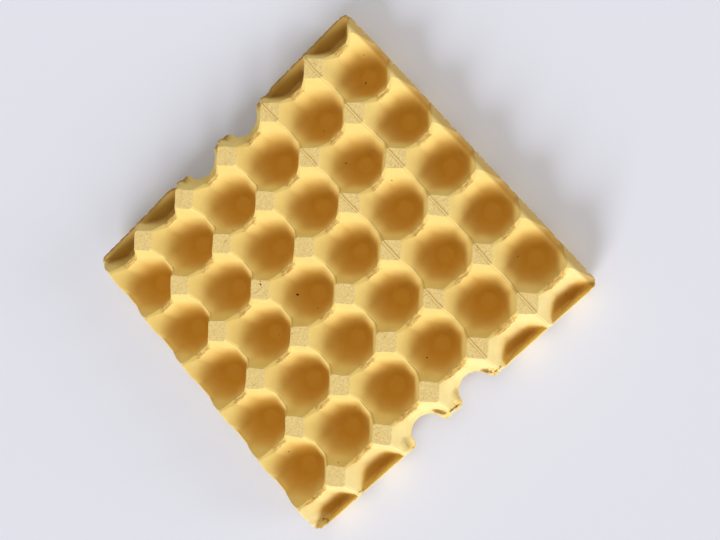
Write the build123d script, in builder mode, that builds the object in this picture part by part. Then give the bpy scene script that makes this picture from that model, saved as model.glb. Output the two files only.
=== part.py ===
from build123d import *
import math
import os

os.makedirs("parts", exist_ok=True)

# A moulded paper-pulp tray for thirty eggs, as it stands on a table with its open side up.
# The origin is the middle of the underside. X runs along the rows that end in half wells and
# finger notches, Y runs across them, and Z is up. Depths are measured down from the post tops.

# Driving dimensions, in millimetres
pitch = 50.0  # from the middle of one cup to the middle of the next
columns = 5  # full cups along X
rows = 6  # full cups along Y
tray_height = 43.0  # from the table to the post tops
wall = 2.0  # thickness of the pulp
end_trim = 2.0  # how far each end wall stands inside the middle of its half wells
side_trim = 2.0  # how far each side wall stands inside the middle of its half posts
corner_radius = 6.0  # rounding of the four corners of the tray

post_side = 14.0  # side of a post's square top, which is turned by 45 degrees
saddle_depth = 15.0  # ridge between two cups, at its lowest
ridge_round = 1.5  # what the rounding takes off the corners of a cup's mouth
bowl_depth = 33.0  # bend from the walls into the bowl
bowl_radius = 15.2  # half width of a cup at that bend
heel_depth = 38.5  # bend inside the bowl
heel_radius = 11.0  # half width of a cup at that bend
floor_radius = 6.8  # flat disc in the bottom of a cup
foot_radius = 9.5  # what lies over the flat foot that the cup stands on, without its rounding

rim_depth = 16.0  # flat rim of the outer walls
facet_run = 6.5  # how far the outer facets of the half posts lean in above the rim
skirt_draft = 12.0  # lean of the outer walls below the rim, in degrees

notch_radius = 15.0  # finger notch in the middle of two half wells at each end
lip_radius = 3.0  # rounding where a notch meets the rim
overrun = 2.0  # how far a cutting form runs past what it cuts

# Sizes worked out from them
length = (columns + 1) * pitch - 2 * end_trim
width = rows * pitch - 2 * side_trim
rim_level = tray_height - rim_depth
wall_slope = (pitch / 2 - bowl_radius) / (bowl_depth - saddle_depth)

# Half widths of a cup's mouth at the level of the post tops: towards the next cups, towards
# the posts, and half way between, where the corners of the eight-sided mouth are rounded off.
step_angle = 22.5
step = math.radians(step_angle)
mouth_side = bowl_radius + bowl_depth * wall_slope
mouth_post = pitch / math.sqrt(2) - post_side / 2
mouth_corner = (
    mouth_side * math.cos(step)
    + (math.sqrt(2) * mouth_post - mouth_side) * math.sin(step)
    - ridge_round
)


def cup(name, bottom, skin):
    """One cup as a closed form, the common part of eight long prisms turned by equal steps.
    bottom holds the bends below the bowl's, from the middle out. skin moves every face outward,
    from the inside of the pulp to its outside."""
    mouths = (mouth_side, mouth_corner, mouth_post, mouth_corner) * 2
    with BuildPart() as form:
        for number, mouth in enumerate(mouths):
            lean = (mouth - bowl_radius) / bowl_depth
            with BuildSketch(Plane.XZ.rotated((0, 0, number * step_angle))):
                with BuildLine():
                    Polyline(
                        (0, wall),
                        *bottom,
                        (bowl_radius, tray_height - bowl_depth),
                        (mouth + overrun * lean, tray_height + overrun),
                        (0, tray_height + overrun),
                        close=True,
                    )
                make_face()
                mirror(about=Plane.YZ)
                if skin > 0:
                    offset(amount=skin, kind=Kind.INTERSECTION)
            extrude(amount=pitch, both=True, mode=Mode.INTERSECT if number else Mode.ADD)
    form.part.label = name
    return form.part


def envelope(name, inset):
    """The outer form of the tray: skirts that lean out from the table up to the rim, and facets
    that lean in from there to the post tops. inset moves every face inward."""
    skirt_run = rim_level * math.tan(math.radians(skirt_draft))
    with BuildPart() as form:
        for plane, reach, mode in (
            (Plane.XZ, length / 2, Mode.ADD),
            (Plane.YZ, width / 2, Mode.INTERSECT),
        ):
            with BuildSketch(plane):
                with BuildLine():
                    Polyline(
                        (0, 0),
                        (reach - skirt_run, 0),
                        (reach, rim_level),
                        (reach - facet_run, tray_height),
                        (0, tray_height),
                        close=True,
                    )
                make_face()
                mirror(about=Plane.YZ)
                if inset > 0:
                    offset(amount=-inset, kind=Kind.INTERSECTION)
            extrude(amount=length + width, both=True, mode=mode)
        upright = form.edges().filter_by(lambda edge: abs(edge.tangent_at(0.5).Z) > 0.5)
        fillet(upright, corner_radius - inset)
    form.part.label = name
    return form.part


outer_form = envelope("outer_form", 0)
inner_form = envelope("inner_form", wall)
cup_outside = cup("cup_outside", [(foot_radius, wall)], wall)
cup_inside = cup(
    "cup_inside", [(floor_radius, wall), (heel_radius, tray_height - heel_depth)], 0
)

# The cups stand on a grid that has a column of half wells beyond the full cups at each end.
cup_places = [
    ((column - (columns + 1) / 2) * pitch, (row - (rows - 1) / 2) * pitch)
    for column in range(columns + 2)
    for row in range(rows)
]

# What the walls leave free: all of the inner form below the rim, and everything above it.
with BuildPart() as free_space:
    add(inner_form)
    with BuildSketch(Plane.XY.offset(rim_level)):
        Rectangle(length + pitch, width + pitch)
    extrude(amount=rim_depth + pitch)

# The hollows of the cups, joined over the ridges and ended by the outer walls
with BuildPart() as hollows:
    with Locations(*cup_places):
        add(cup_inside)
    add(free_space.part, mode=Mode.INTERSECT)

# The finger notches: a disc on the rim line at the middle of each of the two middle half wells
# at both ends, opened outward with rounded lips
with BuildPart() as notches:
    with BuildSketch(Plane.XY.offset(-overrun)):
        with GridLocations(length, pitch, 2, 2):
            Circle(notch_radius)
        with GridLocations(length + pitch, 0, 2, 1):
            Rectangle(pitch, 2 * pitch)
        rim_points = [
            (side * length / 2, sign * pitch / 2 + edge * notch_radius)
            for side in (-1, 1)
            for sign in (-1, 1)
            for edge in (-1, 1)
        ]
        lips = [
            vertex
            for vertex in vertices()
            if any(math.dist((vertex.X, vertex.Y), point) < wall / 4 for point in rim_points)
        ]
        fillet(lips, lip_radius)
    extrude(amount=tray_height + 2 * overrun)

# The tray: the skin over the post tops and the outer facets, the cups hung in it, then the
# hollows and the notches taken out
with BuildPart() as egg_tray:
    add(outer_form)
    add(inner_form, mode=Mode.SUBTRACT)
    with BuildSketch():
        Rectangle(length + pitch, width + pitch)
    extrude(amount=rim_level, mode=Mode.SUBTRACT)
    with Locations(*cup_places):
        add(cup_outside)
    add(outer_form, mode=Mode.INTERSECT)
    add(hollows.part, mode=Mode.SUBTRACT)
    add(notches.part, mode=Mode.SUBTRACT)

egg_tray.part.label = "egg_tray"
export_step(egg_tray.part, "parts/egg_tray.step")
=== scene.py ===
"""The looks of a moulded paper-pulp tray for thirty eggs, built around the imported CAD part.

The tray lies on a pale floor with its open side up. Its skin is one closed mesh: two height
fields, the side that the eggs lie in and the underside, joined along the trimmed edge.
Lengths in the shape functions are millimetres, from the middle of the tray's underside.
"""

import math

import bpy
import numpy as np
from mathutils import Matrix, Vector


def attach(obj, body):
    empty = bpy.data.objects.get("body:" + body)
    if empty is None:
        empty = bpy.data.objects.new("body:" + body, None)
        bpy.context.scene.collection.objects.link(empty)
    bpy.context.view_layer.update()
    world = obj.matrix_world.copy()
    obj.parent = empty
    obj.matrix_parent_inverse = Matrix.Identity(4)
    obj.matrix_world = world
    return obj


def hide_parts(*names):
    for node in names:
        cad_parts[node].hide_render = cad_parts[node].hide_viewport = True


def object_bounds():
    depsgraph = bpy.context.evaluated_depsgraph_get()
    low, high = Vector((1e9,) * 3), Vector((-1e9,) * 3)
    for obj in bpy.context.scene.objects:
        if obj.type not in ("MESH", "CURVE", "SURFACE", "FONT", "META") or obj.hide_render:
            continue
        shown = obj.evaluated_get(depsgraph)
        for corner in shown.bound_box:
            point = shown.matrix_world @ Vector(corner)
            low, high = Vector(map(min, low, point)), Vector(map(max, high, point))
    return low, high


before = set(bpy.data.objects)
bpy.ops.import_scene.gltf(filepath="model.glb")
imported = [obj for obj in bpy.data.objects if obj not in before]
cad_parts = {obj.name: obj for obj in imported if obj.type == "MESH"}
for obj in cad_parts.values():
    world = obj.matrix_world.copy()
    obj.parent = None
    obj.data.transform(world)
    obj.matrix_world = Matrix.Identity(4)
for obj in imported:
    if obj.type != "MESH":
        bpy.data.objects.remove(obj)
cad_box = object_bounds()

MM = 0.001
SEED = 30

# The tray's own sizes, in millimetres. The first two are the CAD part's.
HALF = round(cad_box[1][0] / MM, 1)  # half of the tray's length and of its width
TOP = round(cad_box[1][2] / MM, 1)  # post tops above the table
PITCH = 50.0
WALL = 2.0  # thickness of the pulp
CORNER_RADIUS = 6.0
FLOOR_RADIUS = 6.8  # flat disc in the bottom of a cup
BOWL_RADIUS = 15.2  # where the bowl meets the walls, and how high that is
BOWL_LEVEL = 10.0
BOWL_START = 0.5  # slope of the bowl beside the disc
BOWL_CURVE = 0.0506  # half of what the slope gains per millimetre
BOWL_END = 1.2  # slope outside the bowl's radius
SADDLE_LEVEL = 28.0  # ridges between two cups, at their lowest
RIM_LEVEL = 27.0
SKIN_TOP = TOP - 0.5  # post tops without their seam
FACET_SLOPE = 16.0 / 6.5  # outer faces of the half posts
SKIRT_SLOPE = 1 / math.tan(math.radians(12))  # outer walls below the rim
POST_SIDE = 14.0  # square post tops, turned by 45 degrees
NOTCH_RADIUS = 15.0
NOTCH_PLACES = [(side * HALF, sign * PITCH / 2) for side in (-1, 1) for sign in (-1, 1)]
MARGIN = 0.02  # how far pieces stay inside the CAD part's box

# Flat bands along the ridges: half widths of those that run along X, and of those that run along
# Y at their lowest and beside the posts
RIB_HALF = 1.05
BAND_HALF = 2.2
BAND_END_HALF = 0.8

# Slopes of a cup's walls towards the next cups and towards the posts
HALF_PITCH = PITCH / 2
SIDE_SLOPE = (SADDLE_LEVEL - BOWL_LEVEL) / (HALF_PITCH - BOWL_RADIUS)
POST_REACH = PITCH / math.sqrt(2) - POST_SIDE / 2
POST_SLOPE = (TOP - BOWL_LEVEL) / (POST_REACH - BOWL_RADIUS)
POST_CORNER = POST_SIDE / math.sqrt(2)  # from the middle of a post to its corners

rng = np.random.default_rng(SEED)


def smooth_max(a, b, width):
    share = np.clip(0.5 + 0.5 * (a - b) / width, 0, 1)
    return b + (a - b) * share + width * share * (1 - share)


def smooth_min(a, b, width):
    return -smooth_max(-np.asarray(a, float), -np.asarray(b, float), width)


def ramp(x, low, high):
    """0 below low, 1 above high, and smooth between them."""
    share = np.clip((x - low) / (high - low), 0, 1)
    return share * share * (3 - 2 * share)


def swells(size, count=18):
    """A smooth random field of about unit strength whose swells are about size apart."""
    turns, phases = rng.uniform(0, 2 * math.pi, (2, count))
    paces = 2 * math.pi / (size * rng.uniform(0.7, 1.5, count))

    def field(x, y):
        total = np.zeros_like(x, float)
        for turn, phase, pace in zip(turns, phases, paces):
            total += np.cos(pace * (x * math.cos(turn) + y * math.sin(turn)) + phase)
        return total * math.sqrt(2 / count)

    return field


edge_tears = swells(6.0)
edge_nicks = swells(2.2)
pad_ends = swells(3.0)
warp_x, warp_y, warp_z = swells(38.0), swells(38.0), swells(38.0)
dents = swells(13.0)
crumples = swells(4.5)
crumples_wide = swells(9.0)


def cell(x, y):
    """How far a point is from the middle of its own cup, along X and along Y."""
    u = np.abs(x - PITCH * np.round(x / PITCH))
    v = np.abs(y - PITCH * (np.floor(y / PITCH) + 0.5))
    return np.minimum(u, HALF_PITCH), np.minimum(v, HALF_PITCH)


STRETCH_START = 12.0  # from here outward a cup's walls make room for the flat bands
STRETCH_RUN = HALF_PITCH - STRETCH_START
BAND_TURN = 5.0  # the band of a ridge along Y starts to narrow this far from its middle


def band_half(v):
    """Half width of the band of a ridge along Y, v from the middle of its length."""
    return BAND_HALF + (BAND_END_HALF - BAND_HALF) * ramp(v, BAND_TURN, HALF_PITCH - POST_CORNER)


def stretched(u, band):
    """The distance u as the walls read it: their crest stands at the edge of the band."""
    wide = STRETCH_START + (u - STRETCH_START) * STRETCH_RUN / (STRETCH_RUN - band)
    return np.where(u < STRETCH_START, u, np.minimum(wide, HALF_PITCH))


def unstretched(w, band):
    narrow = STRETCH_START + (w - STRETCH_START) * (STRETCH_RUN - band) / STRETCH_RUN
    return np.where(w < STRETCH_START, w, narrow)


CREASE = 1.6  # how wide two walls of a cup blend low down
CREASE_LOSS = 1.1  # and how much narrower beside the post tops


def walls(x, y, skin):
    """Height of a cup's walls and bowl. skin is how far they are moved down and out, from the
    inside of the pulp to its outside."""
    u, v = cell(x, y)
    u, v = stretched(u, band_half(v)), stretched(v, RIB_HALF)
    r = np.hypot(u, v)
    t = np.maximum(r - FLOOR_RADIUS, 0)
    far = r > BOWL_RADIUS
    beyond = BOWL_LEVEL + BOWL_END * (r - BOWL_RADIUS)
    bowl = np.where(far, beyond, WALL + BOWL_START * t + BOWL_CURVE * t * t)
    slope = np.where(far, BOWL_END, BOWL_START + 2 * BOWL_CURVE * t)
    slope = np.where(r < FLOOR_RADIUS, 0, slope)
    z = bowl - skin * np.sqrt(1 + slope**2)
    for s, slope in ((np.maximum(u, v), SIDE_SLOPE), ((u + v) / math.sqrt(2), POST_SLOPE)):
        plane = BOWL_LEVEL + (s - BOWL_RADIUS) * slope - skin * math.sqrt(1 + slope * slope)
        z = smooth_max(z, plane, CREASE - CREASE_LOSS * ramp(plane, SADDLE_LEVEL - 2, TOP - 5))
    return z


def inset(x, y):
    """How far inside the tray's outline a point is, without the notches."""
    qx = np.abs(x) - (HALF - CORNER_RADIUS)
    qy = np.abs(y) - (HALF - CORNER_RADIUS)
    outside = np.hypot(np.maximum(qx, 0), np.maximum(qy, 0))
    return CORNER_RADIUS - outside - np.minimum(np.maximum(qx, qy), 0)


def notch_gap(x, y):
    """How far outside the nearest finger notch a point is."""
    gap = np.full_like(x, math.inf)
    for cx, cy in NOTCH_PLACES:
        gap = np.minimum(gap, np.hypot(x - cx, y - cy) - NOTCH_RADIUS)
    return gap


LEDGE_LEVEL = 25.0  # height of the lip that is turned outward along a notch
LEDGE_WIDTH = 5.5
LEDGE_DIP = 3.0  # how much lower its outer end is, and where it dips along X
LEDGE_DIP_ZONE = (HALF - 9, HALF - 1)
LEDGE_SLOPE = 8.0  # how steeply it ends towards the cups
LOBE_DROP = 4.0  # how much lower the rim of the lobes between the notches is
THIN_DROP = 1.6  # and the thin rim beside them at the +X end
END_ZONE = (128, 137)  # where the rims of both ends begin along X
LOBE_ZONE = (55, 63)  # where the lobes end along Y
RIM_WIDTHS = (3.0, 0.7)  # width of the rim on the -X side and everywhere else


def ledge(x, y):
    """Height of the lip along a notch; far below the tray everywhere else."""
    dip = LEDGE_DIP * ramp(np.abs(x), *LEDGE_DIP_ZONE)
    return LEDGE_LEVEL - dip - LEDGE_SLOPE * np.maximum(notch_gap(x, y) - LEDGE_WIDTH, 0)


def beside_lobes(y):
    """0 across the notches and the lobes between them, 1 beyond them."""
    return ramp(np.abs(y), *LOBE_ZONE)


def thin_rim(x, y):
    """1 along the thin rim of the +X end, 0 elsewhere."""
    return ramp(x, *END_ZONE) * beside_lobes(y)


def rim_level(x, y):
    lobe = ramp(np.abs(x), *END_ZONE) * (1 - beside_lobes(y))
    return RIM_LEVEL - LOBE_DROP * lobe - THIN_DROP * thin_rim(x, y)


LIP_WIDTH = 5.0  # how wide the edge is rounded beside the notches
TEAR = 0.35  # usual depth of the tears in the trimmed edge, and the greatest one
TEAR_LIMIT = 1.1
NICKS = 0.6  # how strong its small nicks are beside the tears
CALM_SIDE = (0.85 * HALF, 0.95 * HALF)  # along -Y the edge is calmer, by this share
CALM = 0.6


def outline(x, y):
    """Positive inside the trimmed edge of the tray, with rounded lips beside the notches."""
    tear = TEAR * (1 - CALM * ramp(-y, *CALM_SIDE))
    rough = tear * (edge_tears(x, y) + NICKS * edge_nicks(x, y))
    whole = smooth_min(inset(x, y), notch_gap(x, y), LIP_WIDTH)
    return whole - np.clip(rough, 0, TEAR_LIMIT)


SEAM_ROWS = (1, 2)  # crests with a raised seam, counted in pitches from the middle
# Heights across a crest that runs along X, at even steps from its -Y edge to its +Y edge: the
# seam's rib with its groove, and the fine fold on the other crests
SEAM_PROFILE = [-0.10, 0.45, 0.60, 0.50, 0.45, -0.25, -0.05]
FOLD_PROFILE = [0.0, 0.25, 0.25, 0.15, -0.35, 0.05, 0.0]
# Painted shade and highlight on these marks: 1 is shade in a groove, -1 a highlight on a rib
SEAM_SHADING = [0.7, -1.0, -1.0, 0.5, -1.0, 0.6, 0.0]
FOLD_SHADING = [0.0, -0.6, -0.9, -0.3, 0.6, 0.1, 0.0]
PROFILE_PLACES = np.linspace(-1, 1, 7) * RIB_HALF
CREST_ZONE = (3.0, 5.0)  # marks on the crests and pads begin this far inside the edge
TOP_EDGE = 0.6  # the rounded edge of a post top reaches this far down


def on_seam_row(y):
    return np.isin(np.round(y / PITCH), SEAM_ROWS)


def across_crest(y, values):
    """Reads values that stand at even steps across each crest that runs along X."""
    off = y - PITCH * np.round(y / PITCH)
    return np.interp(off, PROFILE_PLACES, values, left=0, right=0)


def top_share(z):
    """1 on the post tops, 0 below their rounded edge."""
    return ramp(z, SKIN_TOP - TOP_EDGE, SKIN_TOP)


def crest_marks(y, top):
    """What the mould leaves along the crests that run along X. Only seams cross the tops."""
    seam = across_crest(y, SEAM_PROFILE)
    return np.where(on_seam_row(y), seam, across_crest(y, FOLD_PROFILE) * (1 - top))


def crest_shading(x, y, z):
    """Painted shade and highlight along these marks: above 0 for shade, below 0 for highlight."""
    fold = across_crest(y, FOLD_SHADING) * (1 - top_share(z))
    tone = np.where(on_seam_row(y), across_crest(y, SEAM_SHADING), fold)
    return tone * ramp(inset(x, y), *CREST_ZONE) * ramp(z, SADDLE_LEVEL - 3, SADDLE_LEVEL - 1)


# Cracks where the lip has split: ends of each crack, its depth and half width
CRACKS = [
    ((145.6, 7.5), (145.4, -2.5), 2.4, 0.9),
    ((145.8, 52.0), (145.4, 43.0), 2.2, 0.8),
    ((145.0, -102.0), (145.5, -96.0), 2.0, 0.8),
    ((146.6, -137.5), (142.5, -142.0), 2.4, 1.1),
    ((133.5, 124.0), (145.0, 124.4), 1.2, 0.6),
]
# Pockets under the curled lip on the lobes: ends, depth and half width
POCKETS = [
    ((135.3, -11.6), (144.8, -5.4), 2.0, 2.3),
    ((136.5, 37.6), (144.8, 43.2), 2.0, 2.3),
]
# Khaki patches of painted shade on the lobes, in colour only: ends, strength and half width
PATCHES = [
    ((134.5, 14.0), (146.5, 8.0), 0.55, 4.5),
    ((136.0, -41.5), (146.5, -45.5), 0.55, 4.0),
]
CRACK_WOBBLE = 0.35


def cracks(x, y, kinds):
    """Depth of the cracks at each point, or strength of the patches. Each one is shaped like a
    lens and deepest in its middle."""
    depth = np.zeros_like(x)
    for (ax, ay), (bx, by), deep, half in kinds:
        long = math.hypot(bx - ax, by - ay)
        ux, uy = (bx - ax) / long, (by - ay) / long
        along = (x - ax) * ux + (y - ay) * uy
        across = (y - ay) * ux - (x - ax) * uy + CRACK_WOBBLE * edge_nicks(x, y)
        lens = np.sqrt(np.clip(4 * along * (long - along) / long**2, 1e-6, 1))
        depth = np.maximum(depth, deep * lens * np.clip(1 - np.abs(across) / (half * lens), 0, 1))
    return depth


PAD_HALF = 6.0  # half length of the rough pad in the middle of a ridge along Y
PAD_GROWTH = 4.5  # how much longer it is at the +X end, and where that begins
PAD_GROWTH_ZONE = (100, 115)
PAD_FADE = 0.5  # how soft its ends are, and how ragged
PAD_RAGGED = 0.8
PAD_COVER = 0.97  # share of the band that it covers, and how ragged its sides are
PAD_SIDES = 0.12
PAD_RISE = 0.3


def pad(x, y):
    """1 on the rough pads, 0 elsewhere, with ragged ends."""
    u, v = cell(x, y)
    across = HALF_PITCH - u
    end = PAD_HALF + PAD_GROWTH * ramp(x, *PAD_GROWTH_ZONE) + PAD_RAGGED * pad_ends(x, y)
    inside = across < band_half(v) * (PAD_COVER + PAD_SIDES * pad_ends(y, x))
    return np.clip((end - v) / PAD_FADE + 0.5, 0, 1) * inside


ROLL = 3.4  # width of the turned-down lip along the trimmed edge
ROLL_CURVE = 1.25
ROLL_DROP = 3.0  # how far it turns the upper skin down, and the underside
UNDER_ROLL_DROP = 1.8
NOTCH_ROLL_LOSS = 0.4  # share by which it turns down less beside a notch
NOTCH_ROLL_REACH = 4  # how far from a notch that ends, and over which width
NOTCH_ROLL_FADE = 3
THIN_ROLL_LOSS = 0.5  # share by which it turns down less on the thin rim
BACK_ROLL_GAIN = 0.5  # and by which it turns down more on the -X side
BACK_ZONE = (0.9 * HALF, 0.96 * HALF)


def roll_share(x, y):
    """1 at the trimmed edge, 0 where the turned-down lip begins."""
    return np.clip(1 - outline(x, y) / ROLL, 0, 1) ** ROLL_CURVE


def upper_roll(x, y):
    """How far the lip turns the upper skin down."""
    beside_notch = ramp(NOTCH_ROLL_REACH - notch_gap(x, y), 0, NOTCH_ROLL_FADE)
    drop = ROLL_DROP * (1 - NOTCH_ROLL_LOSS * beside_notch)
    drop = drop * (1 + BACK_ROLL_GAIN * ramp(-x, *BACK_ZONE))
    drop = drop * (1 - THIN_ROLL_LOSS * thin_rim(x, y))
    return drop * roll_share(x, y)


# How wide forms blend into each other: the rim's edge, a lip into the walls, skins that meet,
# and the edge of the post tops
RIM_BLEND = 0.8
LEDGE_BLEND = 6.0
SKIN_BLEND = 1.0
TOP_BLEND = 0.5
FACET_RISE = 0.5  # the outer faces start this far above the rim
SKIRT_DEPTH = 2.4  # the underside of the outer walls and faces starts this far below it
FACET_DEPTH = 2.6


def top_surface(x, y):
    d = inset(x, y)
    level = rim_level(x, y)
    width = np.where(x < -BACK_ZONE[0], *RIM_WIDTHS)
    rim = smooth_min(level - np.maximum(d - width, 0) * SKIRT_SLOPE, level, RIM_BLEND)
    z = smooth_max(walls(x, y, 0), ledge(x, y), LEDGE_BLEND)
    z = smooth_max(z, rim, SKIN_BLEND)
    z = smooth_min(z, level + FACET_RISE + FACET_SLOPE * np.maximum(d, 0), SKIN_BLEND)
    top = top_share(z)
    z = smooth_min(z, SKIN_TOP, TOP_BLEND)
    crest = ramp(d, *CREST_ZONE)
    z = z + crest_marks(y, top) * crest
    z = z + PAD_RISE * pad(x, y) * crest
    return z - upper_roll(x, y) - cracks(x, y, CRACKS + POCKETS)


def under_surface(x, y):
    d = inset(x, y)
    level = rim_level(x, y)
    skirt = level - SKIRT_DEPTH - d * SKIRT_SLOPE
    z = smooth_max(walls(x, y, WALL), ledge(x, y) - WALL, LEDGE_BLEND)
    z = smooth_max(z, skirt, SKIN_BLEND)
    skin = RIM_LEVEL + FACET_SLOPE * d - WALL * math.sqrt(1 + FACET_SLOPE**2)
    skin = smooth_max(skin, level - FACET_DEPTH, SKIN_BLEND)
    skin = smooth_min(skin, SKIN_TOP - WALL, SKIN_BLEND)
    z = smooth_min(z, skin, SKIN_BLEND)
    return np.maximum(z - UNDER_ROLL_DROP * roll_share(x, y), 0.0)


SWAY = 0.30  # how far damp pulp moves sideways as it dries, and up and down
HEAVE = 0.22
DENT = 0.10
# Corners of the tray that are bent or crumpled: place, reach, and how strong
CRUMPLES = [(HALF, -HALF, 17, 1.0), (HALF, HALF, 13, 0.5), (-HALF, HALF, 12, 0.35)]
CRUMPLE_SINK = 0.9  # how far such a corner sinks, and its fine and wide folds
CRUMPLE_FINE = 0.8
CRUMPLE_WIDE = 0.7
CRUMPLE_PULL = 0.6  # how far it is drawn inward, and how unevenly
CRUMPLE_SWAY = 0.35
# Points move more from the outline inward, from the table up and, where they move up or down,
# from the post tops down
EDGE_FADE = (0.5, 14.0)
FOOT_FADE = (0.5, 6.0)
TOP_FADE = (-0.1, 2.0)
TOP_SLACK = 0.2


def warp(x, y, z):
    """Moves points a little, as damp pulp does when it dries. The outline stays where it is,
    apart from the crumpled corners."""
    fade = ramp(inset(x, y), *EDGE_FADE)
    foot = ramp(z, *FOOT_FADE)
    below_top = ramp(SKIN_TOP + TOP_SLACK - z, *TOP_FADE)
    dx = fade * (SWAY * warp_x(x, y) + DENT * dents(y, x))
    dy = fade * (SWAY * warp_y(x, y) + DENT * dents(x, y))
    dz = foot * (HEAVE * warp_z(x, y) + DENT * dents(x, y)) * below_top
    for cx, cy, reach, strength in CRUMPLES:
        near = ramp(1 - np.hypot(x - cx, y - cy) / reach, 0, 0.7) * strength * foot
        folds = CRUMPLE_FINE * crumples(x, y)
        dz = dz + near * (-CRUMPLE_SINK + folds + CRUMPLE_WIDE * crumples_wide(x, y))
        dx = dx - near * np.sign(cx) * (CRUMPLE_PULL + CRUMPLE_SWAY * crumples(y, x))
        dy = dy - near * np.sign(cy) * (CRUMPLE_PULL + CRUMPLE_SWAY * crumples_wide(y, x))
    return x + dx, y + dy, z + dz


# Grid lines, as distances from the crest of a ridge to the middle of a cup, as the walls read
# them. Those up to a post's corner mirror each other, so that the edges of the post tops pass
# through grid points.
POST_LINES = [0, 0.6, 1.4, 2.6, 3.7, POST_CORNER / 2]
POST_LINES = POST_LINES + [POST_CORNER - s for s in reversed(POST_LINES[:-1])]
FINE_X = POST_LINES + [11.0, 12.3, 13.8, 15.5, 17.5, 19.6, 21.6, 23.3, HALF_PITCH]
FINE_Y = POST_LINES + [11.0, 12.3, 13.8, 15.5, 17.2, 18.4, 19.3, 20.6, 22.0, 23.4, HALF_PITCH]
COARSE = [0, 2.2, POST_CORNER / 2, 7.7, POST_CORNER, 12.3, 15.5, 19.0, 22.0, HALF_PITCH]
BAND_SHARES = [0.25, 0.5, 0.75]
RIB_SHARES = [1 / 3, 2 / 3]
COARSE_SHARES = [0.5]
RIM_LINES = [0, 0.35, 0.8, 1.3, 1.8, 2.2, 2.7, 3.4, 4.2, 5.2, 6.5]
COARSE_RIM_LINES = [0, 0.8, 1.8, 2.7, 4.2, 6.5]
RIM_CLEARANCE = 0.4  # lines of the cups end this far from those of the rim
LEAST_STEP = 0.15  # and lines closer than this to the last one are left out
X_CRESTS = [(i + 0.5) * PITCH for i in range(-3, 3)]
Y_CRESTS = [i * PITCH for i in range(-3, 4)]


def grid_lines(crests, near, rim_lines, band, shares):
    """Grid lines along one axis as rows of (place, crest, side, share of the band, distance
    beyond the band). Lines along the rim stay where they are and have no crest."""
    lines = []
    for crest in crests:
        lines.append((crest, crest, 0, 0, 0))
        for side in (-1, 1):
            for share in shares:
                lines.append((crest + side * share * band, crest, side, share, 0))
            for s in near:
                reach = HALF_PITCH - float(unstretched(np.array(HALF_PITCH - s), band))
                lines.append((crest + side * reach, crest, side, 1, s))
    edge = HALF - rim_lines[-1] - RIM_CLEARANCE
    lines = [line for line in lines if abs(line[0]) < edge]
    lines += [(side * (HALF - s), None, 0, 0, 0) for side in (-1, 1) for s in rim_lines]
    lines.sort(key=lambda line: line[0])
    thinned = lines[:1]
    for line in lines[1:]:
        if line[0] - thinned[-1][0] > LEAST_STEP:
            thinned.append(line)
    return thinned


def grid(near_x, near_y, rim_lines, shares_x, shares_y):
    """Two arrays with the places of a grid's points. The lines beside a ridge along Y follow
    the edges of its band."""
    x_lines = grid_lines(X_CRESTS, near_x, rim_lines, BAND_HALF, shares_x)
    y_lines = grid_lines(Y_CRESTS, near_y, rim_lines, RIB_HALF, shares_y)
    ys = np.array([line[0] for line in y_lines])
    _, v = cell(np.zeros_like(ys), ys)
    band = band_half(v)
    columns = []
    for place, crest, side, share, beyond in x_lines:
        if crest is None or side == 0:
            columns.append(np.full_like(ys, place))
        elif beyond == 0 and share < 1:
            columns.append(crest + side * share * band)
        else:
            columns.append(crest + side * (HALF_PITCH - unstretched(HALF_PITCH - beyond, band)))
    return np.array(columns), np.broadcast_to(ys, (len(x_lines), len(ys))).copy()


def grid_triangles(gx, gy):
    """Two triangles for each square of a grid. Their shared side runs along the posts' edges."""
    index = np.arange(gx.size).reshape(gx.shape)
    a, b = index[:-1, :-1].ravel(), index[1:, :-1].ravel()
    c, d = index[1:, 1:].ravel(), index[:-1, 1:].ravel()
    gx, gy = gx.ravel(), gy.ravel()
    mx, my = (gx[a] + gx[c]) / 2, (gy[a] + gy[c]) / 2
    su = mx - PITCH * np.round(mx / PITCH)
    sv = my - PITCH * (np.floor(my / PITCH) + 0.5)
    falling = (su * sv > 0)[:, None]
    one = np.where(falling, np.stack([a, b, d], 1), np.stack([a, b, c], 1))
    two = np.where(falling, np.stack([b, c, d], 1), np.stack([a, c, d], 1))
    return np.concatenate([one, two])


SNAP_REACH = 0.3  # points this close to the outline move onto it
SNAP_ZONE = 20.0  # if they are this close to the tray's edge
SNAPPED = 0.05  # points this close to the outline count as on it
SNAP_ROUNDS = 3
CUT_ROUNDS = 20
STEP = 0.01  # for the slope of the outline's function
SLIVER = 1e-5  # triangles with a smaller area are left out


def snapped(x, y):
    """Moves points close to the outline onto it, so that the cut leaves no slivers. Returns
    them with the outline's value at each point."""
    x, y = x.copy(), y.copy()
    f = outline(x, y)
    for _ in range(SNAP_ROUNDS):
        near = (np.abs(f) < SNAP_REACH) & (inset(x, y) < SNAP_ZONE)
        nx, ny = x[near], y[near]
        slope_x = (outline(nx + STEP, ny) - outline(nx - STEP, ny)) / (2 * STEP)
        slope_y = (outline(nx, ny + STEP) - outline(nx, ny - STEP)) / (2 * STEP)
        size = np.maximum(slope_x**2 + slope_y**2, 1e-6)
        x[near] -= f[near] * slope_x / size
        y[near] -= f[near] * slope_y / size
        f = outline(x, y)
    f[np.abs(f) < SNAPPED] = 0
    return x, y, f


def crossing(ax, ay, bx, by):
    """Where the outline crosses the way from a point inside it to a point outside."""
    low, high = 0.0, 1.0
    for _ in range(CUT_ROUNDS):
        mid = (low + high) / 2
        f = outline(np.array([ax + mid * (bx - ax)]), np.array([ay + mid * (by - ay)]))[0]
        low, high = (mid, high) if f >= 0 else (low, mid)
    return ax + low * (bx - ax), ay + low * (by - ay)


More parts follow.
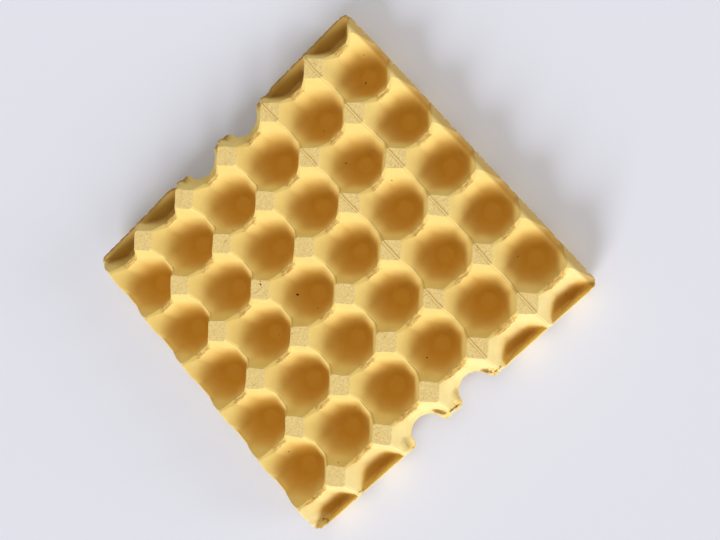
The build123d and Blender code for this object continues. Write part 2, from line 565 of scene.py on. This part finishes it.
def clipped_grid(gx, gy):
    """Cuts a grid along the tray's outline. Returns X and Y of its points, and its triangles."""
    x, y, f = snapped(gx.ravel(), gy.ravel())
    tris = grid_triangles(gx, gy)
    inside = f >= 0
    whole = inside[tris].all(1)
    partly = inside[tris].any(1) & ~whole
    px, py = list(x), list(y)
    cuts = {}

    def cut(p, q):
        """Number of the point where the side between two points crosses the outline."""
        key = (min(p, q), max(p, q))
        if key not in cuts:
            a, b = (p, q) if inside[p] else (q, p)
            cx, cy = crossing(x[a], y[a], x[b], y[b])
            px.append(cx)
            py.append(cy)
            cuts[key] = len(px) - 1
        return cuts[key]

    trimmed = []
    for tri in tris[partly].tolist():
        poly = []
        for p, q in zip(tri, tri[1:] + tri[:1]):
            if inside[p]:
                poly.append(p)
            if inside[p] != inside[q] and f[p] != 0 and f[q] != 0:
                poly.append(cut(p, q))
        trimmed += [(poly[0], poly[k], poly[k + 1]) for k in range(1, len(poly) - 1)]
    tris = np.concatenate([tris[whole], np.array(trimmed)])
    px, py = np.array(px), np.array(py)
    a, b, c = tris.T
    area = (px[b] - px[a]) * (py[c] - py[a]) - (px[c] - px[a]) * (py[b] - py[a])
    tris = tris[np.abs(area) > SLIVER]
    used = np.unique(tris)
    renumber = np.full(len(px), -1)
    renumber[used] = np.arange(len(used))
    return px[used], py[used], renumber[tris]


def border(tris):
    """The points of a triangle mesh's outer border, in order, and triangles that close the
    pinholes which the cut along the outline may leave."""
    edges = {}
    for a, b, c in tris.tolist():
        for p, q in ((a, b), (b, c), (c, a)):
            if (q, p) in edges:
                del edges[(q, p)]
            else:
                edges[(p, q)] = True
    after = {}
    for p, q in edges:
        after.setdefault(p, []).append(q)
    loops = []
    while after:
        start = next(iter(after))
        loop = [start]
        while True:
            choices = after[loop[-1]]
            following = choices.pop()
            if not choices:
                del after[loop[-1]]
            if following == start:
                break
            loop.append(following)
        loops.append(loop)
    loops.sort(key=len)
    patches = []
    for loop in loops[:-1]:
        patches += [(loop[0], loop[k + 1], loop[k]) for k in range(1, len(loop) - 1)]
    return loops[-1], np.array(patches, int).reshape(-1, 3)


def zipped(upper, lower, xyz):
    """Triangles of the wall between two closed borders that run the same way round."""
    p = xyz[upper[0], :2]
    first = int(np.argmin(np.hypot(*(xyz[lower, :2] - p).T)))
    lower = lower[first:] + lower[:first]
    n, m = len(upper), len(lower)
    tris = []
    i = j = 0
    while i < n or j < m:
        a, b = upper[i % n], lower[j % m]
        a2, b2 = upper[(i + 1) % n], lower[(j + 1) % m]
        up = np.hypot(*(xyz[a2, :2] - xyz[b, :2])) if i < n else math.inf
        down = np.hypot(*(xyz[b2, :2] - xyz[a, :2])) if j < m else math.inf
        if up <= down:
            tris.append((a, b, a2))
            i += 1
        else:
            tris.append((a, b, b2))
            j += 1
    return tris


def closed_triangles(upper_tris, under_tris, xyz, n):
    """Triangles of the closed skin. The underside's points come after the n upper ones."""
    upper, upper_patches = border(upper_tris)
    lower, lower_patches = border(under_tris)
    edge = zipped(upper, [q + n for q in lower], xyz)
    under = np.concatenate([under_tris, lower_patches])[:, ::-1] + n
    return np.concatenate([upper_tris, upper_patches, under, np.array(edge)])


PAD_ROUGH = 0.3  # how coarse the pads are, where the post tops are 1

# Painted shade that browns the cups, the more the deeper a point lies: up to where it is full,
# how far above that it is gone, and by how much it is weaker at the +X end and at the -X end
DEEP_START = 3.0
DEEP_RUN = 26.0
DEEP_END_LOSS = 0.8
DEEP_END_ZONE = (140, 144)
DEEP_BACK_LOSS = 0.7
DEEP_BACK_ZONE = (126, 132)

# Painted light that makes the skin paler: the +X end, apart from its half wells
PALE_END = 0.6
PALE_END_ZONE = (124, 130)
PALE_WELL_ZONE = (132, 137)
PALE_WELL_LEVELS = (20, 26)
# and the crumpled corner
PALE_CORNER = 0.9
PALE_CORNER_PLACE = (141, -145)
PALE_CORNER_REACH = 11

# Painted shade that browns the skin: the outer faces of the +Y side
OUTER_SHADE = 0.6
OUTER_ZONE = (HALF - 6.5, HALF - 4.0)
# the rim and the half wells of the -X side, which stay clear of the notches
RIM_SHADE = 0.8
RIM_ZONE = (HALF - 4.8, HALF - 2.5)
WELL_SHADE = 0.45
WELL_ZONE = (136, 142)
WELL_LEVELS = (22, 27)
NOTCH_CLEARANCE = (1, 4)
# crescents in the half wells of the +X side: where they begin and end along X, and their last
# places along Y
CRESCENT_SHADE = 0.32
CRESCENT_START = (133.0, 136.5)
CRESCENT_END = (140.0, 143.0)
CRESCENT_LEVELS = (15, 22)
CRESCENT_LAST = (130, 138)
# the pockets, and the depth from which a crack is fully brown
POCKET_SHADE = 0.9
FULL_CRACK = 1.2


def rough_share(x, y, z):
    """1 on the coarse pulp of the post tops, less on the pads, 0 on the smooth walls."""
    return np.maximum(ramp(z, SKIN_TOP - 0.5, SKIN_TOP - 0.1), PAD_ROUGH * pad(x, y))


def depth_shade_share(x, z):
    """How much painted shade a point takes for its depth: 1 in the bottom of a cup, 0 from the
    ridges up.
    """
    deep = 1 - np.clip((z - DEEP_START) / DEEP_RUN, 0, 1)
    loss = DEEP_END_LOSS * ramp(x, *DEEP_END_ZONE)
    return deep * (1 - loss - DEEP_BACK_LOSS * ramp(-x, *DEEP_BACK_ZONE))


def disc_share(x, y):
    """1 on the flat disc in the bottom of a cup."""
    return 1 - ramp(np.hypot(*cell(x, y)), FLOOR_RADIUS - 0.6, FLOOR_RADIUS + 0.2)


def painted_shade_share(x, y, z):
    """How strongly painted shade browns the skin: the outer faces on the +Y side, the rim on the
    -X side, the half wells at both ends, and the cracks, pockets and patches."""
    free = ramp(notch_gap(x, y), *NOTCH_CLEARANCE)
    outer = OUTER_SHADE * ramp(y, *OUTER_ZONE)
    rim = RIM_SHADE * ramp(-x, *RIM_ZONE) * free
    well = WELL_SHADE * ramp(-x, *WELL_ZONE) * ((1 - ramp(z, *WELL_LEVELS)) * free)
    crescent = CRESCENT_SHADE * ramp(x, *CRESCENT_START) * (1 - ramp(x, *CRESCENT_END))
    crescent = crescent * (1 - ramp(z, *CRESCENT_LEVELS)) * (1 - ramp(y, *CRESCENT_LAST))
    split = np.clip(cracks(x, y, CRACKS) / FULL_CRACK, 0, 1)
    split = split + POCKET_SHADE * np.clip(cracks(x, y, POCKETS), 0, 1)
    split = split + cracks(x, y, PATCHES)
    return np.clip(np.maximum.reduce([outer, rim, well, crescent, split]), 0, 1)


def painted_light_share(x, y, z):
    """How much painted light makes the skin paler."""
    well = ramp(x, *PALE_WELL_ZONE) * (1 - ramp(z, *PALE_WELL_LEVELS))
    end = PALE_END * ramp(x, *PALE_END_ZONE) * (1 - well)
    cx, cy = PALE_CORNER_PLACE
    corner = ramp(1 - np.hypot(x - cx, y - cy) / PALE_CORNER_REACH, 0, 0.5)
    return np.maximum(end, PALE_CORNER * corner)


# The shares that are the same all over the underside: an even fifth of the painted depth shade,
# and no other painted shade or light. The disc shows there too.
UNDER_SHARES = {
    "rough": 0.8,
    "deep": 0.2,
    "pad": 0.0,
    "painted_shade": 0.0,
    "pale": 0.0,
    "shade_line": 0.0,
    "highlight_line": 0.0,
}


def skin_shares(x, y, z, n):
    """What the material reads at each point, by name. The first n points are the upper ones."""
    lines = crest_shading(x, y, z)
    shares = {
        "rough": rough_share(x, y, z),
        "deep": depth_shade_share(x, z),
        "disc": disc_share(x, y),
        "pad": pad(x, y),
        "painted_shade": painted_shade_share(x, y, z),
        "pale": painted_light_share(x, y, z),
        "shade_line": np.maximum(lines, 0),
        "highlight_line": np.maximum(-lines, 0),
    }
    for name, value in UNDER_SHARES.items():
        shares[name][n:] = value
    return shares


def add_object(name, data):
    obj = bpy.data.objects.new(name, data)
    bpy.context.scene.collection.objects.link(obj)
    return obj


GRAIN = 0.02  # how uneven the coarse pulp is, and the pads
PAD_GRAIN = 0.10
SHARP_ANGLE = 48  # edges that turn by more degrees than this are shaded as sharp


def build_tray():
    fine = grid(FINE_X, FINE_Y, RIM_LINES, BAND_SHARES, RIB_SHARES)
    coarse = grid(COARSE, COARSE, COARSE_RIM_LINES, COARSE_SHARES, COARSE_SHARES)
    x1, y1, t1 = clipped_grid(*fine)
    x2, y2, t2 = clipped_grid(*coarse)
    n = len(x1)
    x, y = np.concatenate([x1, x2]), np.concatenate([y1, y2])
    z = np.concatenate([top_surface(x1, y1), under_surface(x2, y2)])
    shares = skin_shares(x, y, z, n)
    z = z + np.where(z < 1, 0, GRAIN * shares["rough"] * rng.standard_normal(len(z)))
    z = z + PAD_GRAIN * shares["pad"] * rng.standard_normal(len(z))
    x, y, z = warp(x, y, z)
    limit = HALF - MARGIN
    x, y, z = np.clip(x, -limit, limit), np.clip(y, -limit, limit), np.clip(z, 0, TOP)
    xyz = np.stack([x, y, z], 1)
    tris = closed_triangles(t1, t2, xyz, n)
    mesh = bpy.data.meshes.new("pulp_tray")
    mesh.from_pydata((xyz * MM).tolist(), [], tris.tolist())
    mesh.validate()
    for name, share in shares.items():
        mesh.attributes.new(name, "FLOAT", "POINT").data.foreach_set("value", share)
    mesh.polygons.foreach_set("use_smooth", np.ones(len(mesh.polygons), bool))
    mesh.set_sharp_from_angle(angle=math.radians(SHARP_ANGLE))
    return add_object("pulp_tray", mesh)


class Nodes:
    """Short hand for building a node tree."""

    def __init__(self, tree):
        self.tree = tree

    def add(self, kind, inputs=None, **settings):
        node = self.tree.nodes.new(kind)
        for name, value in settings.items():
            setattr(node, name, value)
        for name, value in (inputs or {}).items():
            socket = node.inputs[name]
            if isinstance(value, bpy.types.NodeSocket):
                self.tree.links.new(value, socket)
            else:
                socket.default_value = value
        return node

    def math(self, operation, first, second):
        return self.add("ShaderNodeMath", {0: first, 1: second}, operation=operation).outputs[0]

    def mix(self, factor, first, second):
        return self.add(
            "ShaderNodeMix", {"Factor": factor, 6: first, 7: second}, data_type="RGBA"
        ).outputs[2]

    def lay(self, share, most, tone, colour):
        """Lays a colour over a tone as far as share says, by most where it is 1."""
        return self.mix(self.range(share, 0.0, 1.0, 0.0, most), tone, colour)

    def noise(self, place, scale, detail):
        return self.add(
            "ShaderNodeTexNoise",
            {"Vector": place, "Scale": scale, "Detail": detail, "Roughness": 0.6},
        ).outputs["Fac"]

    def range(self, value, low, high, first, last):
        return self.add(
            "ShaderNodeMapRange",
            {"Value": value, "From Min": low, "From Max": high, "To Min": first, "To Max": last},
        ).outputs[0]

    def surface(self, inputs):
        shader = self.add("ShaderNodeBsdfPrincipled", inputs)
        self.add("ShaderNodeOutputMaterial", {"Surface": shader.outputs[0]})


def new_material(name):
    material = bpy.data.materials.new(name)
    material.use_nodes = True
    material.node_tree.nodes.clear()
    return material, Nodes(material.node_tree)


def srgb(*values):
    return tuple(((c / 255 + 0.055) / 1.055) ** 2.4 for c in values) + (1.0,)


SKIN = srgb(250, 224, 140)
# The browner tone that paints shade deep in the cups
DEPTH_SHADE_SKIN = srgb(217, 161, 52)
# The paler tone that paints light on the +X end and the crumpled corner
PAINTED_LIGHT_SKIN = srgb(255, 238, 176)
# The brown that paints shade on the +Y outer faces, the -X rim, the half wells, cracks, pockets
# and patches
SHADE_BROWN = srgb(158, 112, 44)
DISC = srgb(240, 196, 110)
CLOUD = srgb(222, 176, 84)
DARK_FIBRE = srgb(190, 146, 80)
PALE_FIBRE = srgb(255, 238, 186)
COARSE_TONES = (srgb(234, 196, 120), srgb(255, 230, 160))
PAD_TONES = (srgb(188, 130, 50), srgb(255, 214, 124))
# Painted shade in the crests' grooves and painted highlight on their ribs
GROOVE_SHADE = srgb(186, 112, 34)
RIB_HIGHLIGHT = srgb(255, 234, 156)
SCRATCH = srgb(160, 116, 52)
BARK = srgb(74, 44, 20)
PAPER = srgb(243, 244, 255)
SCRATCH_TURNS = (0.5, 1.2, 2.6)  # radians
FINE_BUMP = 0.0004  # metres
COARSE_BUMP = 0.0008


def pulp_tone(n, place, share):
    """The skin's colour, with its painted shade and painted light, from the places of its points
    and the shares that the mesh holds.
    """
    # Painted shade, browner the deeper a point lies in a cup, and painted light, paler at the +X
    # end and the crumpled corner
    tone = n.mix(share["deep"], SKIN, DEPTH_SHADE_SKIN)
    tone = n.mix(share["pale"], tone, PAINTED_LIGHT_SKIN)

    # The flat disc in a cup is a little paler
    tone = n.lay(share["disc"], 0.10, tone, DISC)

    # Uneven dye: slow changes all over, and small pale and dark fibres
    cloud = n.noise(place, 45.0, 3.0)
    tone = n.mix(n.range(cloud, 0.35, 0.7, 0.0, 0.16), tone, CLOUD)
    speckle = n.noise(place, 1400.0, 2.0)
    tone = n.mix(n.range(speckle, 0.62, 0.74, 0.0, 0.30), tone, DARK_FIBRE)
    tone = n.mix(n.range(speckle, 0.30, 0.20, 0.0, 0.35), tone, PALE_FIBRE)
    fibres = n.range(n.noise(place, 700.0, 4.0), 0.35, 0.65, 0.0, 1.0)
    tone = n.lay(share["rough"], 0.8, tone, n.mix(fibres, *COARSE_TONES))

    # The rough pads are browner, and the crests carry fine lines of painted shade and painted
    # highlight
    stretch = n.add("ShaderNodeVectorMath", {0: place, 1: (1.0, 0.2, 1.0)}, operation="MULTIPLY")
    streaks = n.range(n.noise(stretch.outputs[0], 900.0, 3.0), 0.38, 0.62, 0.0, 1.0)
    tone = n.lay(share["pad"], 0.75, tone, n.mix(streaks, *PAD_TONES))
    tone = n.lay(share["shade_line"], 0.8, tone, GROOVE_SHADE)
    tone = n.lay(share["highlight_line"], 0.55, tone, RIB_HIGHLIGHT)
    # Painted shade: brown on the +Y outer faces, the -X rim, the half wells, cracks, pockets and
    # patches
    tone = n.mix(share["painted_shade"], tone, SHADE_BROWN)

    # Thin dark scratches on the coarse pulp, here and there
    tops = n.range(share["rough"], 0.85, 1.0, 0.0, 1.0)
    some = n.range(n.noise(place, 90.0, 1.0), 0.45, 0.62, 0.0, 1.0)
    tops = n.math("MULTIPLY", tops, some)
    for turn in SCRATCH_TURNS:
        turned = n.add(
            "ShaderNodeMapping",
            {"Vector": place, "Rotation": (0.0, 0.0, turn), "Scale": (1.0, 0.12, 1.0)},
        ).outputs[0]
        scratch = n.range(n.noise(turned, 800.0, 3.0), 0.62, 0.70, 0.0, 0.6)
        tone = n.mix(n.math("MULTIPLY", scratch, tops), tone, SCRATCH)
    return tone


def pulp_bump(n, place, share):
    """Fine grain all over, and coarser grain that is strongest on the coarse pulp."""
    fine = n.add(
        "ShaderNodeBump",
        {"Height": n.noise(place, 900.0, 4.0), "Strength": 0.15, "Distance": FINE_BUMP},
    ).outputs["Normal"]
    strength = n.range(share["rough"], 0.0, 1.0, 0.05, 0.2)
    return n.add(
        "ShaderNodeBump",
        {
            "Height": n.noise(place, 320.0, 4.0),
            "Strength": strength,
            "Distance": COARSE_BUMP,
            "Normal": fine,
        },
    ).outputs["Normal"]


def pulp_material(names):
    material, n = new_material("pulp_with_painted_shade_and_light")
    place = n.add("ShaderNodeTexCoord").outputs["Object"]
    share = {
        name: n.add("ShaderNodeAttribute", attribute_name=name).outputs["Fac"] for name in names
    }
    n.surface(
        {
            "Base Color": pulp_tone(n, place, share),
            "Roughness": 0.9,
            "Specular IOR Level": 0.25,
            "Normal": pulp_bump(n, place, share),
        }
    )
    return material


def fleck_material():
    material, n = new_material("bark_fleck")
    n.surface({"Base Color": BARK, "Roughness": 0.9})
    return material


def floor_material():
    material, n = new_material("floor_paper")
    n.surface({"Base Color": PAPER, "Roughness": 0.9, "Specular IOR Level": 0.2})
    return material


tray = build_tray()
tray.data.materials.append(pulp_material([*UNDER_SHARES, "disc"]))
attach(tray, "root")
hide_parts("egg_tray")

# The dark flecks that stand out: place along X and Y, length, width and turn in degrees
FLECKS = [
    (-100, 120, 2.6, 1.1, -65),
    (-114, 134, 1.2, 0.8, 44),
    (-60, 64, 1.6, 0.9, -42),
    (-30, -45, 1.2, 0.9, 48),
    (-28, -47, 2.2, 1.4, 10),
    (-8, -38, 2.4, 1.5, 5),
    (10, -33, 2.4, 0.7, -74),
    (101, 10, 1.3, 0.9, 37),
]
# And small ones anywhere: how many, how far from the middle, lengths and widths
SMALL_FLECKS = 20
SMALL_REACH = 0.9 * HALF
SMALL_LENGTHS = (0.8, 1.2)
SMALL_WIDTHS = (0.6, 0.8)
# A fleck's corners as shares of its half length and half width
FLECK_CORNERS = [(1, 0), (0.3, 1), (-0.7, 0.8), (-1, -0.1), (-0.2, -1), (0.7, -0.7)]
FLECK_RISE = 0.04  # how far its corners stand out of the skin, and its middle
FLECK_MIDDLE_RISE = 0.16
FLECK_DEPTH = 0.5


def small_flecks():
    ranges = [(-SMALL_REACH, SMALL_REACH)] * 2 + [SMALL_LENGTHS, SMALL_WIDTHS, (0, 180)]
    return np.stack([rng.uniform(low, high, SMALL_FLECKS) for low, high in ranges], 1).tolist()


def fleck_points(fx, fy, long, wide, turn):
    """Corners of a fleck and then its middle, on the tray's skin."""
    c, s = math.cos(math.radians(turn)), math.sin(math.radians(turn))
    x = [fx + long / 2 * px * c - wide / 2 * py * s for px, py in FLECK_CORNERS]
    y = [fy + long / 2 * px * s + wide / 2 * py * c for px, py in FLECK_CORNERS]
    x, y = np.array(x + [fx]), np.array(y + [fy])
    return warp(x, y, top_surface(x, y))


def build_flecks():
    """Small dark splinters that lie half sunk in the tray's skin, as one mesh."""
    n = len(FLECK_CORNERS)
    low = n + 1
    points, faces = [], []
    for fleck in FLECKS + small_flecks():
        x, y, z = fleck_points(*fleck)
        first = len(points)
        for dz in ([FLECK_RISE] * n + [FLECK_MIDDLE_RISE], [-FLECK_DEPTH] * low):
            heights = np.minimum(z + dz, TOP - MARGIN)
            points += [(a * MM, b * MM, h * MM) for a, b, h in zip(x, y, heights)]
        for i in range(n):
            j = (i + 1) % n
            faces.append((first + i, first + j, first + n))
            faces.append((first + low + j, first + low + i, first + low + n))
            faces.append((first + j, first + i, first + low + i, first + low + j))
    mesh = bpy.data.meshes.new("flecks")
    mesh.from_pydata(points, [], faces)
    return add_object("flecks", mesh)


flecks = build_flecks()
flecks.data.materials.append(fleck_material())
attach(flecks, "root")

# The floor, in metres: half its side, and its level, a hair under the cups' feet
FLOOR_HALF = 6.0
FLOOR_LEVEL = -0.0003


def build_floor():
    corners = [(-1, -1), (1, -1), (1, 1), (-1, 1)]
    points = [(x * FLOOR_HALF, y * FLOOR_HALF, FLOOR_LEVEL) for x, y in corners]
    mesh = bpy.data.meshes.new("floor")
    mesh.from_pydata(points, [], [(0, 1, 2, 3)])
    return add_object("floor", mesh)


floor = build_floor()
floor.data.materials.append(floor_material())

# Light: a wide low window on the tray's +X and -Y side, a weaker one off its +X end, a lower one
# on its +X and +Y side, a dim one overhead, and an even room light. The camera and reflections
# see the room about as bright as the lit floor, so that the floor's far edge hardly shows.
ROOM_COLOUR = (1.0, 0.93, 0.80, 1)
ROOM_STRENGTH = 0.33
SEEN_COLOUR = (0.96, 0.97, 1.0, 1)
SEEN_STRENGTH = 0.80
LAMP_COLOUR = (0.965, 1.0, 1.06)


def build_room():
    world = bpy.data.worlds.new("room")
    bpy.context.scene.world = world
    world.use_nodes = True
    world.node_tree.nodes.clear()
    n = Nodes(world.node_tree)
    paths = n.add("ShaderNodeLightPath").outputs
    seen = paths["Is Camera Ray"]
    for kind in ("Is Glossy Ray", "Is Transmission Ray"):
        seen = n.math("MAXIMUM", seen, paths[kind])
    colour = n.mix(seen, ROOM_COLOUR, SEEN_COLOUR)
    strength = n.range(seen, 0, 1, ROOM_STRENGTH, SEEN_STRENGTH)
    background = n.add("ShaderNodeBackground", {"Color": colour, "Strength": strength})
    n.add("ShaderNodeOutputWorld", {"Surface": background.outputs[0]})


def lamp(name, azimuth, elevation, spread, share):
    """A distant soft lamp. A white surface that faces it comes out at the given share of white."""
    data = bpy.data.lights.new(name, "SUN")
    data.energy = math.pi * share
    data.angle = math.radians(spread)
    data.color = LAMP_COLOUR
    obj = add_object(name, data)
    a, e = math.radians(azimuth), math.radians(elevation)
    way = Vector((math.cos(a) * math.cos(e), math.sin(a) * math.cos(e), math.sin(e)))
    obj.rotation_mode = "QUATERNION"
    obj.rotation_quaternion = way.to_track_quat("Z", "Y")


build_room()
lamp("window", -56, 28, 30, 0.64)
lamp("window_end", -8, 27, 30, 0.12)
lamp("far_window", 48, 13, 26, 0.36)
lamp("ceiling", 120, 75, 40, 0.10)

# Camera: where the photograph was taken from, with square pixels
CAMERA_PLACE = Vector((0.1902, 0.1714, 0.8109))
CAMERA_RIGHT = Vector((0.6415, 0.7136, -0.2816))
CAMERA_DOWN = Vector((0.7370, -0.6752, -0.0320))
FOCAL_PIXELS = 1034.0
IMAGE_WIDTH = 720.0
SENSOR_WIDTH = 36.0

camera_data = bpy.data.cameras.new("camera")
camera_data.sensor_width = SENSOR_WIDTH
camera_data.lens = SENSOR_WIDTH * FOCAL_PIXELS / IMAGE_WIDTH
camera = add_object("camera", camera_data)
right = CAMERA_RIGHT.normalized()
back = right.cross(-CAMERA_DOWN).normalized()
up = back.cross(right)
turn = Matrix((right, up, back)).transposed().to_4x4()
camera.matrix_world = Matrix.Translation(CAMERA_PLACE) @ turn
bpy.context.scene.camera = camera

bpy.context.scene.view_settings.view_transform = "Standard"
